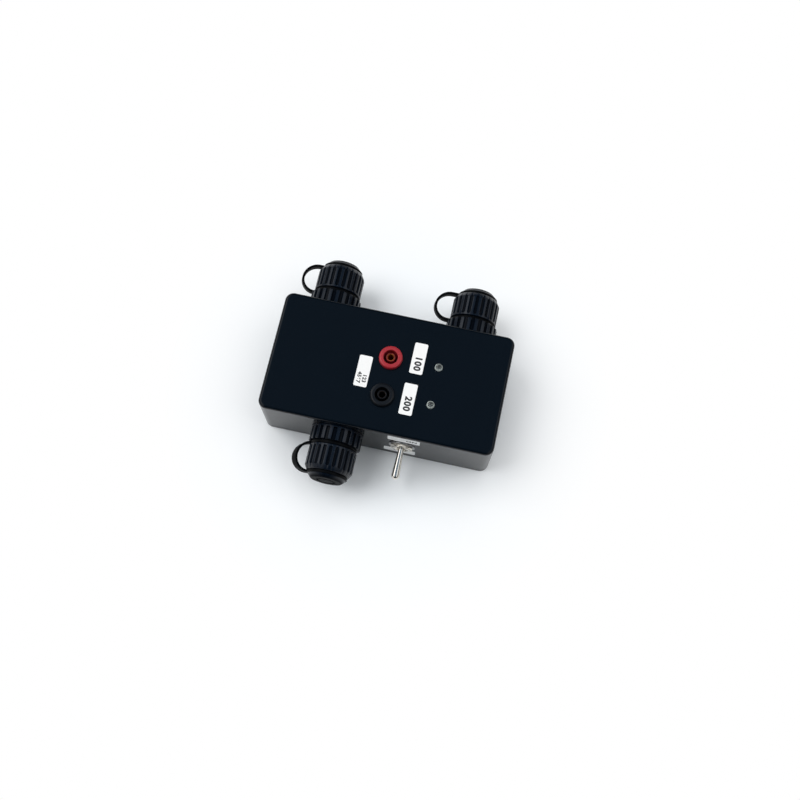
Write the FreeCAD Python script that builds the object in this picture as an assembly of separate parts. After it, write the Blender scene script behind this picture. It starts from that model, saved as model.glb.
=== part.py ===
import FreeCAD, Part
import math
import os

from FreeCAD import Vector

# Junction box with three capped cable sockets, two 4 mm jacks, two lamps and a toggle switch.
# X runs along the long side, Y to the back and Z up. The origin is the centre of the underside.

# Box: a moulded tub, open below, closed by a screwed cover
box_length = 150.0
box_width = 79.0
box_height = 46.0
wall = 2.5
top_wall = 2.8
corner_radius = 5.5
top_edge_radius = 2.2
cover_thickness = 3.0
seam_chamfer = 0.4
lip_height = 2.0
lip_wall = 1.6
lip_clearance = 0.25
boss_radius = 4.0
boss_inset = 7.5

# Cover screws
screw_radius = 1.5
screw_length = 12.0
screw_head_radius = 2.8
screw_head_sink = 0.2
screw_clearance = 0.2
thread_fit = 0.05
cross_width = 0.7
cross_length = 3.4
cross_depth = 0.9

# Cable sockets, measured outwards from the face of the wall they stand on
socket_axis_rise = 0.4
back_socket_inset = 29.2
front_socket_x = -24.0
shell_radius = 12.5
shell_reach = 25.0
shell_bore_radius = 10.5
shell_mouth_chamfer = 0.6
hole_clearance = 0.1
flange_overhang = 2.1
flange_thickness = 2.2
gasket_thickness = 1.0
gasket_inset = 0.4
shell_tail_radius = 11.3
shell_tail_length = 7.3
lip_bore_radius = 9.3
lip_thickness = 2.0
insert_clearance = 0.1
insert_face = 14.0
contact_spacing = 9.0
contact_radius = 1.9
contact_bore_radius = 1.1
contact_bore_depth = 9.0
contact_setback = 0.5
contact_tail_radius = 1.2
contact_tail_length = 2.5
contact_mouth_radius = 1.5

# Ribbed clamp ring that holds each socket to the wall
clamp_radius = 16.7
clamp_length = 9.6
clamp_chamfer = 0.4
clamp_slot_count = 22
clamp_slot_width = 2.1
clamp_slot_depth = 1.2
clamp_back_rim = 1.3

# Screw cap
cap_radius = 15.3
cap_bore_clearance = 0.3
cap_start = 12.0
cap_shoulder_rise = 1.9
cap_shoulder_edge = 13.6
cap_bevel_length = 3.0
cap_mouth_chamfer = 0.4
cap_groove_count = 24
cap_groove_width = 1.7
cap_groove_depth = 0.9
cap_groove_start = 1.3
cap_groove_end = 2.6
seal_thickness = 1.5
seal_clearance = 0.4
seal_inner_radius = 8.0
neck_radius = 11.4
neck_length = 2.0
cone_base_radius = 12.4
cone_end_radius = 10.0
cone_length = 2.5
end_ring_radius = 6.2
end_ring_width = 1.4
end_ring_depth = 0.5

# Strap that ties each cap to its socket, with a ring at both ends
strap_width = 4.6
strap_thickness = 1.6
strap_ring_clearance = 0.3
root_ring_radius = 15.2
root_ring_length = 2.1
end_ring_outer_radius = 13.0
front_strap_bulge = 13.7
back_left_strap_bulge = 15.7
back_right_strap_bulge = 17.1

# 4 mm safety jacks
jack_x = 0.0
red_jack_y = 9.0
black_jack_y = -16.0
jack_flange_radius = 7.5
jack_flange_height = 3.0
jack_edge_radius = 0.8
jack_barrel_radius = 5.9
jack_depth = 20.0
jack_recess_radius = 4.6
jack_recess_depth = 14.0
jack_sleeve_radius = 2.9
jack_sleeve_setback = 0.6
jack_bore_radius = 2.0
jack_contact_wall = 0.35
jack_contact_setback = 1.1
jack_bore_depth = 16.0
jack_tag_width = 4.8
jack_tag_thickness = 0.8
jack_tag_length = 7.0
jack_stud_length = 2.0
jack_nut_flats = 15.0
jack_nut_height = 3.5

# Lamps and the board that holds them from below
lamp_x = 30.8
upper_lamp_y = 9.5
lower_lamp_y = -15.5
lamp_radius = 2.5
lamp_length = 8.6
lamp_reach = 2.2
lamp_flange_radius = 2.9
lamp_flange_height = 1.0
leg_spacing = 2.54
leg_width = 0.5
leg_length = 8.0
board_thickness = 1.6
board_right_margin = 8.0
board_front_margin = 2.8
board_back_margin = 4.2
board_switch_gap = 0.3
resistor_radius = 1.2
resistor_length = 6.5

# Toggle switch on the front wall
switch_x = 18.0
switch_tilt = 12.0
bushing_radius = 5.95
bushing_reach = 2.7
bushing_bore_radius = 3.5
bushing_neck_radius = 3.0
bushing_neck_length = 0.6
bushing_mouth_radius = 4.4
bushing_mouth_depth = 0.9
frame_thickness = 1.0
case_width = 14.6
case_height = 27.0
case_depth = 17.0
pocket_radius = 4.2
pocket_depth = 7.0
ball_radius = 3.2
pivot_behind_face = 4.7
lever_length = 24.2
lever_root_radius = 1.75
lever_tip_radius = 2.7
lever_tail_length = 6.0
lever_tail_radius = 1.2
washer_thickness = 0.6
washer_radius = 8.6
washer_teeth = 12
washer_notch_width = 1.3
washer_notch_depth = 1.0
switch_nut_flats = 14.0
switch_nut_thickness = 1.6
lug_spacing = 12.0
lug_width = 4.8
lug_thickness = 0.8
lug_length = 8.0
lug_hole_radius = 0.9

# Tape labels
label_length = 20.6
label_width = 8.4
label_thickness = 0.15
label_corner = 1.0
left_label = (-15.1, -2.9)
upper_label = (17.3, 12.6)
lower_label = (16.4, -14.9)
on_label_shift = 1.0
on_label_gap = 1.0
off_label_shift = -1.5
off_label_gap = 1.3

# Wires inside the box
wire_radius = 0.9

# Faces that the pieces share
front_face = -box_width / 2
back_face = box_width / 2
front_inside = front_face + wall
top_inside = box_height - top_wall
lip_top = cover_thickness + lip_height
boss_x = box_length / 2 - boss_inset
boss_y = box_width / 2 - boss_inset
screw_sink_depth = screw_head_radius - screw_radius
back_socket_x = box_length / 2 - back_socket_inset
socket_axis_z = (lip_top + top_inside) / 2 + socket_axis_rise
flange_radius = shell_radius + flange_overhang
gasket_radius = flange_radius - gasket_inset
shell_back = -(wall + gasket_thickness + flange_thickness + shell_tail_length)
insert_back = shell_back + lip_thickness
contact_back = shell_back - contact_tail_length
cap_floor = shell_reach + seal_thickness
cap_shoulder = cap_floor + cap_shoulder_rise
cap_bore_radius = shell_radius + cap_bore_clearance
neck_end = cap_shoulder + neck_length
cap_end = neck_end + cone_length
jack_top = box_height + jack_flange_height
jack_bottom = box_height - jack_depth
jack_tag_bottom = jack_bottom - jack_stud_length - jack_tag_length
lamp_bottom = box_height + lamp_reach - lamp_length
board_top = lamp_bottom - leg_length
board_bottom = board_top - board_thickness
switch_z = socket_axis_z
bushing_face = front_face - bushing_reach
pivot_y = bushing_face + pivot_behind_face
case_front = front_inside + frame_thickness
case_back = case_front + case_depth
lug_end = case_back + lug_length
board_left = switch_x + case_width / 2 + board_switch_gap
board_right = lamp_x + board_right_margin
board_front = lower_lamp_y - board_front_margin
board_back = upper_lamp_y + board_back_margin
on_label = (switch_x + on_label_shift, switch_z + washer_radius + on_label_gap + label_width / 2)
off_label = (switch_x + off_label_shift, switch_z - washer_radius - off_label_gap - label_width / 2)

UP = Vector(0, 0, 1)
OUT = Vector(0, 1, 0)
ORIGIN = Vector(0, 0, 0)


def centred_box(size_x, size_y, size_z, centre):
    corner = Vector(centre.x - size_x / 2, centre.y - size_y / 2, centre.z - size_z / 2)
    return Part.makeBox(size_x, size_y, size_z, corner)


def rounded_block(length, width, bottom, top, radius):
    block = Part.makeBox(length, width, top - bottom, Vector(-length / 2, -width / 2, bottom))
    upright = [edge for edge in block.Edges if abs(edge.tangentAt(edge.FirstParameter).z) > 0.9]
    return block.makeFillet(radius, upright)


def turned(outline, axis):
    """Solid turned about the origin from (radius, station) points along the axis."""
    if axis == UP:
        points = [Vector(radius, 0, station) for radius, station in outline]
    else:
        points = [Vector(radius, station, 0) for radius, station in outline]
    face = Part.Face(Part.makePolygon(points + [points[0]]))
    solid = face.revolve(ORIGIN, axis, 360)
    if solid.Volume < 0:
        solid.reverse()
    return solid


def ring(outer, inner, start, end, axis):
    return turned([(inner, start), (outer, start), (outer, end), (inner, end)], axis)


def rod(radius, start, end, axis=OUT):
    return Part.makeCylinder(radius, end - start, axis * start, axis)


def hexagon(flats, start, end, axis):
    """Prism across the flats, with corners along X."""
    corner = flats / math.sqrt(3)
    points = []
    for step in range(7):
        angle = math.radians(60 * step)
        if axis == UP:
            points.append(Vector(corner * math.cos(angle), corner * math.sin(angle), start))
        else:
            points.append(Vector(corner * math.cos(angle), start, corner * math.sin(angle)))
    return Part.Face(Part.makePolygon(points)).extrude(axis * (end - start))


def moved(shape, x, y, z):
    copy = shape.copy()
    copy.translate(Vector(x, y, z))
    return copy


def around(shape, count, axis=OUT):
    """Copies of a shape, evenly turned about an axis through the origin."""
    copies = []
    for index in range(count):
        copy = shape.copy()
        copy.rotate(ORIGIN, axis, 360.0 * index / count)
        copies.append(copy)
    return Part.makeCompound(copies)


# Box

def boss_places():
    return [(side_x * boss_x, side_y * boss_y) for side_x in (-1, 1) for side_y in (-1, 1)]


def enclosure_tub():
    tub = rounded_block(box_length, box_width, cover_thickness, box_height, corner_radius)
    top_edges = [edge for edge in tub.Edges
                 if all(abs(vertex.Z - box_height) < 0.001 for vertex in edge.Vertexes)]
    tub = tub.makeFillet(top_edge_radius, top_edges)
    cavity = rounded_block(box_length - 2 * wall, box_width - 2 * wall,
                           cover_thickness - 1, top_inside, corner_radius - wall)
    tub = tub.cut(cavity)
    for x, y in boss_places():
        boss = Part.makeCylinder(boss_radius, top_inside - cover_thickness + 0.5,
                                 Vector(x, y, cover_thickness))
        tub = tub.fuse(boss)
    for x, y in boss_places():
        pilot = Part.makeCylinder(screw_radius + thread_fit, screw_length,
                                  Vector(x, y, cover_thickness))
        tub = tub.cut(pilot)
    return tub.cut(wall_holes()).removeSplitter()


def wall_holes():
    holes = []
    reach = 3 * wall
    for x, y in ((jack_x, red_jack_y), (jack_x, black_jack_y)):
        holes.append(Part.makeCylinder(jack_barrel_radius + hole_clearance, reach,
                                       Vector(x, y, box_height - reach / 2)))
    for y in (upper_lamp_y, lower_lamp_y):
        holes.append(Part.makeCylinder(lamp_radius + hole_clearance, reach,
                                       Vector(lamp_x, y, box_height - reach / 2)))
    for name, x, side in sockets():
        holes.append(Part.makeCylinder(shell_radius + hole_clearance, reach,
                                       Vector(x, side * back_face - reach / 2, socket_axis_z), OUT))
    holes.append(Part.makeCylinder(bushing_radius + hole_clearance, reach,
                                   Vector(switch_x, front_face - reach / 2, switch_z), OUT))
    return Part.makeCompound(holes)


def bottom_cover():
    cover = rounded_block(box_length, box_width, 0, cover_thickness, corner_radius)
    rim = [edge for edge in cover.Edges
           if all(abs(vertex.Z - cover_thickness) < 0.001 for vertex in edge.Vertexes)]
    cover = cover.makeChamfer(seam_chamfer, rim)
    inset = 2 * (wall + lip_clearance)
    lip = rounded_block(box_length - inset, box_width - inset, cover_thickness, lip_top,
                        corner_radius - wall - lip_clearance)
    core = rounded_block(box_length - inset - 2 * lip_wall, box_width - inset - 2 * lip_wall,
                         cover_thickness, lip_top, corner_radius - wall - lip_clearance - lip_wall)
    lip = lip.cut(core)
    for x, y in boss_places():
        lip = lip.cut(Part.makeCylinder(boss_radius + lip_clearance, lip_height,
                                        Vector(x, y, cover_thickness)))
    cover = cover.fuse(lip)
    hole_radius = screw_radius + screw_clearance
    mouth_radius = screw_head_radius + screw_clearance
    for x, y in boss_places():
        hole = Part.makeCylinder(hole_radius, cover_thickness, Vector(x, y, 0))
        sink = Part.makeCone(mouth_radius, hole_radius, screw_sink_depth, Vector(x, y, screw_head_sink))
        mouth = Part.makeCylinder(mouth_radius, screw_head_sink, Vector(x, y, 0))
        cover = cover.cut(hole).cut(sink).cut(mouth)
    return cover.removeSplitter()


def cover_screw(x, y):
    head = Part.makeCone(screw_head_radius, screw_radius, screw_sink_depth,
                         Vector(0, 0, screw_head_sink))
    shank = Part.makeCylinder(screw_radius, screw_length, Vector(0, 0, screw_head_sink))
    screw = head.fuse(shank).removeSplitter()
    for size_x, size_y in ((cross_length, cross_width), (cross_width, cross_length)):
        slot = centred_box(size_x, size_y, 2 * cross_depth, Vector(0, 0, screw_head_sink))
        screw = screw.cut(slot)
    return moved(screw, x, y, 0)


# Cable sockets, drawn along +Y from the wall face and then placed

def sockets():
    return (("front", front_socket_x, -1),
            ("back_left", -back_socket_x, 1),
            ("back_right", back_socket_x, 1))


def placed(shape, x, side):
    copy = shape.copy()
    if side < 0:
        copy.rotate(ORIGIN, UP, 180)
    copy.translate(Vector(x, side * back_face, socket_axis_z))
    return copy


def socket_shell():
    flange_back = -(wall + gasket_thickness + flange_thickness)
    mouth = shell_reach - shell_mouth_chamfer
    return turned([
        (lip_bore_radius, shell_back),
        (shell_tail_radius, shell_back),
        (shell_tail_radius, flange_back),
        (flange_radius, flange_back),
        (flange_radius, -(wall + gasket_thickness)),
        (shell_radius, -(wall + gasket_thickness)),
        (shell_radius, mouth),
        (shell_radius - shell_mouth_chamfer, shell_reach),
        (shell_bore_radius, shell_reach),
        (shell_bore_radius, insert_back),
        (lip_bore_radius, insert_back),
    ], OUT)


def panel_gasket():
    return ring(gasket_radius, shell_radius + hole_clearance, -(wall + gasket_thickness), -wall, OUT)


def clamp_ring():
    front = clamp_length - clamp_chamfer
    bore = shell_radius + thread_fit
    body = turned([(bore, 0), (clamp_radius - clamp_chamfer, 0), (clamp_radius, clamp_chamfer),
                   (clamp_radius, front), (clamp_radius - clamp_chamfer, clamp_length),
                   (bore, clamp_length)], OUT)
    slot_length = clamp_length - clamp_back_rim + 1
    slot = centred_box(clamp_slot_width, slot_length, 2 * clamp_slot_depth,
                       Vector(0, clamp_back_rim + slot_length / 2, clamp_radius))
    return body.cut(around(slot, clamp_slot_count))


def contact_insert():
    body = rod(shell_bore_radius - insert_clearance, insert_back, insert_face)
    hole_end = insert_face - contact_setback
    for side in (-1, 1):
        hole = rod(contact_radius + thread_fit, insert_back - 1, hole_end)
        mouth = rod(contact_mouth_radius, hole_end - 1, insert_face + 1)
        body = body.cut(moved(hole.fuse(mouth), side * contact_spacing / 2, 0, 0))
    return body


def contacts():
    front = insert_face - contact_setback
    body = rod(contact_radius, insert_back, front)
    tail = rod(contact_tail_radius, contact_back, insert_back)
    bore = rod(contact_bore_radius, front - contact_bore_depth, front)
    contact = body.fuse(tail).cut(bore)
    return Part.makeCompound([moved(contact, side * contact_spacing / 2, 0, 0) for side in (-1, 1)])


def cap_groove():
    """Cutter for one grip groove on top of the cap, with round ends."""
    start = cap_start + cap_groove_start + cap_groove_width / 2
    end = cap_shoulder - cap_groove_end - cap_groove_width / 2
    floor = cap_radius - cap_groove_depth
    cutter = centred_box(cap_groove_width, end - start, 2 * cap_groove_depth,
                         Vector(0, (start + end) / 2, cap_radius))
    for station in (start, end):
        cutter = cutter.fuse(Part.makeCylinder(cap_groove_width / 2, 2 * cap_groove_depth,
                                               Vector(0, station, floor)))
    return cutter.removeSplitter()


def cap():
    body = turned([
        (cap_bore_radius, cap_start),
        (cap_radius - cap_mouth_chamfer, cap_start),
        (cap_radius, cap_start + cap_mouth_chamfer),
        (cap_radius, cap_shoulder - cap_bevel_length),
        (cap_shoulder_edge, cap_shoulder),
        (neck_radius, cap_shoulder),
        (neck_radius, neck_end),
        (cone_base_radius, neck_end),
        (cone_end_radius, cap_end),
        (0, cap_end),
        (0, cap_floor),
        (cap_bore_radius, cap_floor),
    ], OUT)
    body = body.cut(ring(end_ring_radius, end_ring_radius - end_ring_width,
                         cap_end - end_ring_depth, cap_end + 1, OUT))
    return body.cut(around(cap_groove(), cap_groove_count))


def cap_seal():
    return ring(cap_bore_radius - seal_clearance, seal_inner_radius, shell_reach, cap_floor, OUT)


def cap_strap(side, bulge):
    """One moulding: a ring behind the cap, a loop to one side and a ring in the cap's neck."""
    root_start = clamp_length
    root_ring = ring(root_ring_radius, shell_radius + strap_ring_clearance,
                     root_start, root_start + root_ring_length, OUT)
    end_start = (cap_shoulder + neck_end - strap_thickness) / 2
    end_ring = ring(end_ring_outer_radius, neck_radius + strap_ring_clearance,
                    end_start, end_start + strap_thickness, OUT)
    root_middle = root_start + root_ring_length / 2
    end_middle = end_start + strap_thickness / 2
    strap = root_ring.fuse(end_ring)
    for station, radius in ((root_middle, root_ring_radius), (end_middle, end_ring_outer_radius)):
        inner = min(radius, bulge) - 1.0
        tab = centred_box(bulge - inner, strap_thickness, strap_width,
                          Vector(-side * (bulge + inner) / 2, station, 0))
        strap = strap.fuse(tab)
    bend = (end_middle - root_middle) / 2
    loop = ring(bend + strap_thickness / 2, bend - strap_thickness / 2,
                -strap_width / 2, strap_width / 2, UP)
    loop = moved(loop, -side * bulge, (root_middle + end_middle) / 2, 0)
    half = Part.makeBox(2 * bend, 4 * bend, 2 * strap_width,
                        Vector(-bulge - 2 * bend, root_middle - bend, -strap_width))
    if side < 0:
        half.rotate(ORIGIN, UP, 180)
        half.translate(Vector(0, root_middle + end_middle, 0))
    return strap.fuse(loop.common(half)).removeSplitter()


# Jacks

def jack_body():
    bore = jack_bore_radius + jack_contact_wall + thread_fit
    body = turned([
        (bore, jack_bottom),
        (jack_barrel_radius, jack_bottom),
        (jack_barrel_radius, box_height),
        (jack_flange_radius, box_height),
        (jack_flange_radius, jack_top),
        (jack_recess_radius, jack_top),
        (jack_recess_radius, jack_top - jack_recess_depth),
        (jack_sleeve_radius, jack_top - jack_recess_depth),
        (jack_sleeve_radius, jack_top - jack_sleeve_setback),
        (bore, jack_top - jack_sleeve_setback),
    ], UP)
    rim = [edge for edge in body.Edges
           if abs(edge.CenterOfMass.z - jack_top) < 0.001
           and abs(edge.BoundBox.XMax - jack_flange_radius) < 0.001]
    return body.makeFillet(jack_edge_radius, rim)


def jack_contact():
    top = jack_top - jack_contact_setback
    stud_bottom = jack_bottom - jack_stud_length
    body = rod(jack_bore_radius + jack_contact_wall, stud_bottom, top, UP)
    tag = centred_box(jack_tag_width, jack_tag_thickness, jack_tag_length,
                      Vector(0, 0, stud_bottom - jack_tag_length / 2))
    bore = rod(jack_bore_radius, top - jack_bore_depth, top, UP)
    return body.fuse(tag).cut(bore)


def jack_nut():
    nut = hexagon(jack_nut_flats, top_inside - jack_nut_height, top_inside, UP)
    return nut.cut(rod(jack_barrel_radius + thread_fit, 0, box_height, UP))


# Lamps

def lamp():
    top = box_height + lamp_reach
    straight_top = top - lamp_radius
    body = rod(lamp_radius, lamp_bottom, straight_top, UP)
    flange = rod(lamp_flange_radius, lamp_bottom, lamp_bottom + lamp_flange_height, UP)
    dome = Part.makeSphere(lamp_radius, Vector(0, 0, straight_top))
    return body.fuse(flange).fuse(dome).removeSplitter()


def lamp_legs():
    legs = []
    for y in (upper_lamp_y, lower_lamp_y):
        for side in (-1, 1):
            centre = Vector(lamp_x + side * leg_spacing / 2, y, (lamp_bottom + board_top) / 2)
            legs.append(centred_box(leg_width, leg_width, lamp_bottom - board_top, centre))
    return Part.makeCompound(legs)


def lamp_board():
    return Part.makeBox(board_right - board_left, board_back - board_front, board_thickness,
                        Vector(board_left, board_front, board_bottom))


def board_resistors():
    middle = (upper_lamp_y + lower_lamp_y) / 2
    resistors = []
    for side in (-1, 1):
        start = Vector(lamp_x - resistor_length / 2, middle + side * 2 * resistor_radius,
                       board_top + resistor_radius)
        resistors.append(Part.makeCylinder(resistor_radius, resistor_length, start, Vector(1, 0, 0)))
    return Part.makeCompound(resistors)


# Switch, drawn about the Y axis at y in the box's own frame

def at_switch(shape):
    return moved(shape, switch_x, 0, switch_z)


def switch_bushing():
    neck_front = bushing_face + bushing_mouth_depth
    neck_back = neck_front + bushing_neck_length
    sleeve = turned([
        (bushing_mouth_radius, bushing_face),
        (bushing_radius, bushing_face),
        (bushing_radius, case_front),
        (bushing_bore_radius, case_front),
        (bushing_bore_radius, neck_back),
        (bushing_neck_radius, neck_back),
        (bushing_neck_radius, neck_front),
    ], OUT)
    frame = centred_box(case_width, frame_thickness, case_height,
                        Vector(0, (front_inside + case_front) / 2, 0))
    frame = frame.cut(rod(bushing_bore_radius, front_inside - 1, case_front + 1))
    return at_switch(sleeve.fuse(frame).removeSplitter())


def switch_case():
    body = centred_box(case_width, case_depth, case_height,
                       Vector(0, (case_front + case_back) / 2, 0))
    return at_switch(body.cut(rod(pocket_radius, case_front, case_front + pocket_depth)))


def switch_terminals():
    lugs = []
    for side in (-1, 1):
        lug = centred_box(lug_width, lug_length, lug_thickness,
                          Vector(0, (case_back + lug_end) / 2, side * lug_spacing / 2))
        hole = Part.makeCylinder(lug_hole_radius, 2 * lug_thickness,
                                 Vector(0, lug_end - lug_width / 2,
                                        side * lug_spacing / 2 - lug_thickness))
        lugs.append(lug.cut(hole))
    return at_switch(Part.makeCompound(lugs))


def switch_lock_washer():
    washer = ring(washer_radius, bushing_radius + hole_clearance,
                  front_face - washer_thickness, front_face, OUT)
    notch = centred_box(washer_notch_width, 4 * washer_thickness, 2 * washer_notch_depth,
                        Vector(0, front_face, washer_radius))
    return at_switch(washer.cut(around(notch, washer_teeth)))


def switch_nut():
    back = front_face - washer_thickness
    nut = hexagon(switch_nut_flats, back - switch_nut_thickness, back, OUT)
    return at_switch(nut.cut(rod(bushing_radius + thread_fit, back - 2 * wall, back + wall)))


def switch_lever():
    tip = lever_length - lever_tip_radius
    inward = OUT * -1
    ball = Part.makeSphere(ball_radius)
    stem = Part.makeCone(lever_root_radius, lever_tip_radius, tip, ORIGIN, inward)
    end = Part.makeSphere(lever_tip_radius, Vector(0, -tip, 0))
    tail = Part.makeCylinder(lever_tail_radius, lever_tail_length, ORIGIN, OUT)
    lever = ball.fuse([stem, end, tail]).removeSplitter()
    lever.rotate(ORIGIN, Vector(1, 0, 0), switch_tilt)
    return at_switch(moved(lever, 0, pivot_y, 0))


# Labels

def label_plate():
    plate = Part.makeBox(label_width, label_length, label_thickness,
                         Vector(-label_width / 2, -label_length / 2, 0))
    upright = [edge for edge in plate.Edges if abs(edge.tangentAt(edge.FirstParameter).z) > 0.9]
    return plate.makeFillet(label_corner, upright)


def top_label(place):
    return moved(label_plate(), place[0], place[1], box_height)


def front_label(place):
    plate = label_plate()
    plate.rotate(ORIGIN, UP, 90)
    plate.rotate(ORIGIN, Vector(1, 0, 0), 90)
    return moved(plate, place[0], front_face, place[1])


# Wires

def wire(points):
    """Round wire along straight runs that are joined by tangent arcs."""
    edges = []
    start = points[0]
    for index in range(1, len(points) - 1):
        before = points[index] - points[index - 1]
        after = points[index + 1] - points[index]
        turn = before.getAngle(after)
        radius = 0.45 * min(before.Length, after.Length) / math.tan(turn / 2)
        trim = radius * math.tan(turn / 2)
        incoming = before.normalize()
        outgoing = after.normalize()
        enter = points[index] - incoming * trim
        leave = points[index] + outgoing * trim
        towards_centre = (outgoing - incoming).normalize()
        centre = points[index] + towards_centre * (radius / math.cos(turn / 2))
        edges.append(Part.LineSegment(start, enter).toShape())
        edges.append(Part.Arc(enter, centre - towards_centre * radius, leave).toShape())
        start = leave
    edges.append(Part.LineSegment(start, points[-1]).toShape())
    path = Part.Wire(edges)
    section = Part.Wire([Part.Circle(points[0], points[1] - points[0], wire_radius).toShape()])
    solid = path.makePipeShell([section], True, False)
    if solid.Volume < 0:
        solid.reverse()
    return solid


def tail_point(x, side, contact_side):
    """Centre of a contact's solder end."""
    offset = contact_side * contact_spacing / 2
    return Vector(x + offset, side * (back_face + contact_back), socket_axis_z)


def board_point(across, y):
    return Vector(lamp_x + across, y, board_bottom)


def lug_point(side):
    return Vector(switch_x, lug_end, switch_z + side * lug_spacing / 2)


def tag_point(y):
    return Vector(jack_x, y, jack_tag_bottom)


def red_wires():
    left = tail_point(-back_socket_x, 1, 1)
    right = tail_point(back_socket_x, 1, 1)
    front = tail_point(front_socket_x, -1, 1)
    lower_lug = lug_point(-1)
    upper_lug = lug_point(1)
    red_tag = tag_point(red_jack_y)
    left_pad = board_point(-4.2, 11)
    right_pad = board_point(6, 6)
    behind_lugs = lug_end + 7
    lug_pad = board_point(-4.2, behind_lugs)
    tag_pad = board_point(2.0, red_tag.y)
    routes = [
        [left, Vector(left.x, 18.5, left.z), Vector(left_pad.x, 18.5, left.z),
         Vector(left_pad.x, left_pad.y, 22.5), left_pad],
        [right, Vector(right.x, right_pad.y, right.z), Vector(right_pad.x, right_pad.y, 22), right_pad],
        [front, Vector(front.x, behind_lugs, front.z), Vector(-8, behind_lugs, lower_lug.z),
         Vector(lower_lug.x, behind_lugs, lower_lug.z), lower_lug],
        [upper_lug, Vector(upper_lug.x, lug_end + 5.5, upper_lug.z), Vector(upper_lug.x + 1.5, lug_pad.y, 24),
         Vector(lug_pad.x, lug_pad.y, 23), lug_pad],
        [red_tag, Vector(red_tag.x, red_tag.y, 9), Vector(tag_pad.x, tag_pad.y, 9), tag_pad],
    ]
    return Part.makeCompound([wire(route) for route in routes])


def black_wires():
    left = tail_point(-back_socket_x, 1, -1)
    right = tail_point(back_socket_x, 1, -1)
    front = tail_point(front_socket_x, -1, -1)
    black_tag = tag_point(black_jack_y)
    left_pad = board_point(-3.8, 5)
    right_pad = board_point(3.2, 12)
    front_pad = board_point(-1.8, 0)
    tag_pad = board_point(2.2, -12)
    routes = [
        [left, Vector(left.x, 15.5, left.z), Vector(left.x + 6, 15.5, 12.5),
         Vector(left_pad.x, 15.5, 12.5), Vector(left_pad.x, left_pad.y, 13), left_pad],
        [right, Vector(right.x, right_pad.y, right.z), Vector(right_pad.x, right_pad.y, 22), right_pad],
        [front, Vector(front.x, -1, front.z), Vector(-18, front_pad.y, 10),
         Vector(front_pad.x, front_pad.y, 10), front_pad],
        [black_tag, Vector(black_tag.x, black_tag.y, 6.5), Vector(tag_pad.x, tag_pad.y, 6.5), tag_pad],
    ]
    return Part.makeCompound([wire(route) for route in routes])


def nodes():
    shapes = {
        "enclosure_tub": enclosure_tub(),
        "bottom_cover": bottom_cover(),
        "cover_screws": Part.makeCompound([cover_screw(x, y) for x, y in boss_places()]),
    }
    pieces = {
        "socket_shell": socket_shell(),
        "panel_gasket": panel_gasket(),
        "clamp_ring": clamp_ring(),
        "contact_insert": contact_insert(),
        "contacts": contacts(),
        "cap": cap(),
        "cap_seal": cap_seal(),
    }
    bulges = {"front": front_strap_bulge, "back_left": back_left_strap_bulge,
              "back_right": back_right_strap_bulge}
    for name, x, side in sockets():
        for piece, shape in pieces.items():
            shapes[name + "_" + piece] = placed(shape, x, side)
        shapes[name + "_cap_strap"] = placed(cap_strap(side, bulges[name]), x, side)
    for name, y in (("red", red_jack_y), ("black", black_jack_y)):
        shapes[name + "_jack_body"] = moved(jack_body(), jack_x, y, 0)
        shapes[name + "_jack_contact"] = moved(jack_contact(), jack_x, y, 0)
        shapes[name + "_jack_nut"] = moved(jack_nut(), jack_x, y, 0)
    shapes["upper_lamp"] = moved(lamp(), lamp_x, upper_lamp_y, 0)
    shapes["lower_lamp"] = moved(lamp(), lamp_x, lower_lamp_y, 0)
    shapes["lamp_legs"] = lamp_legs()
    shapes["lamp_board"] = lamp_board()
    shapes["board_resistors"] = board_resistors()
    shapes["switch_bushing"] = switch_bushing()
    shapes["switch_case"] = switch_case()
    shapes["switch_terminals"] = switch_terminals()
    shapes["switch_lock_washer"] = switch_lock_washer()
    shapes["switch_nut"] = switch_nut()
    shapes["switch_lever"] = switch_lever()
    shapes["left_label"] = top_label(left_label)
    shapes["upper_label"] = top_label(upper_label)
    shapes["lower_label"] = top_label(lower_label)
    shapes["on_label"] = front_label(on_label)
    shapes["off_label"] = front_label(off_label)
    shapes["red_wires"] = red_wires()
    shapes["black_wires"] = black_wires()
    return shapes


os.makedirs("parts", exist_ok=True)
for node, shape in nodes().items():
    shape.exportStep("parts/" + node + ".step")
    print(node, len(shape.Solids), "solids", round(shape.Volume, 1), "mm3", shape.isValid())
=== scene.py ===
import math

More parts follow.
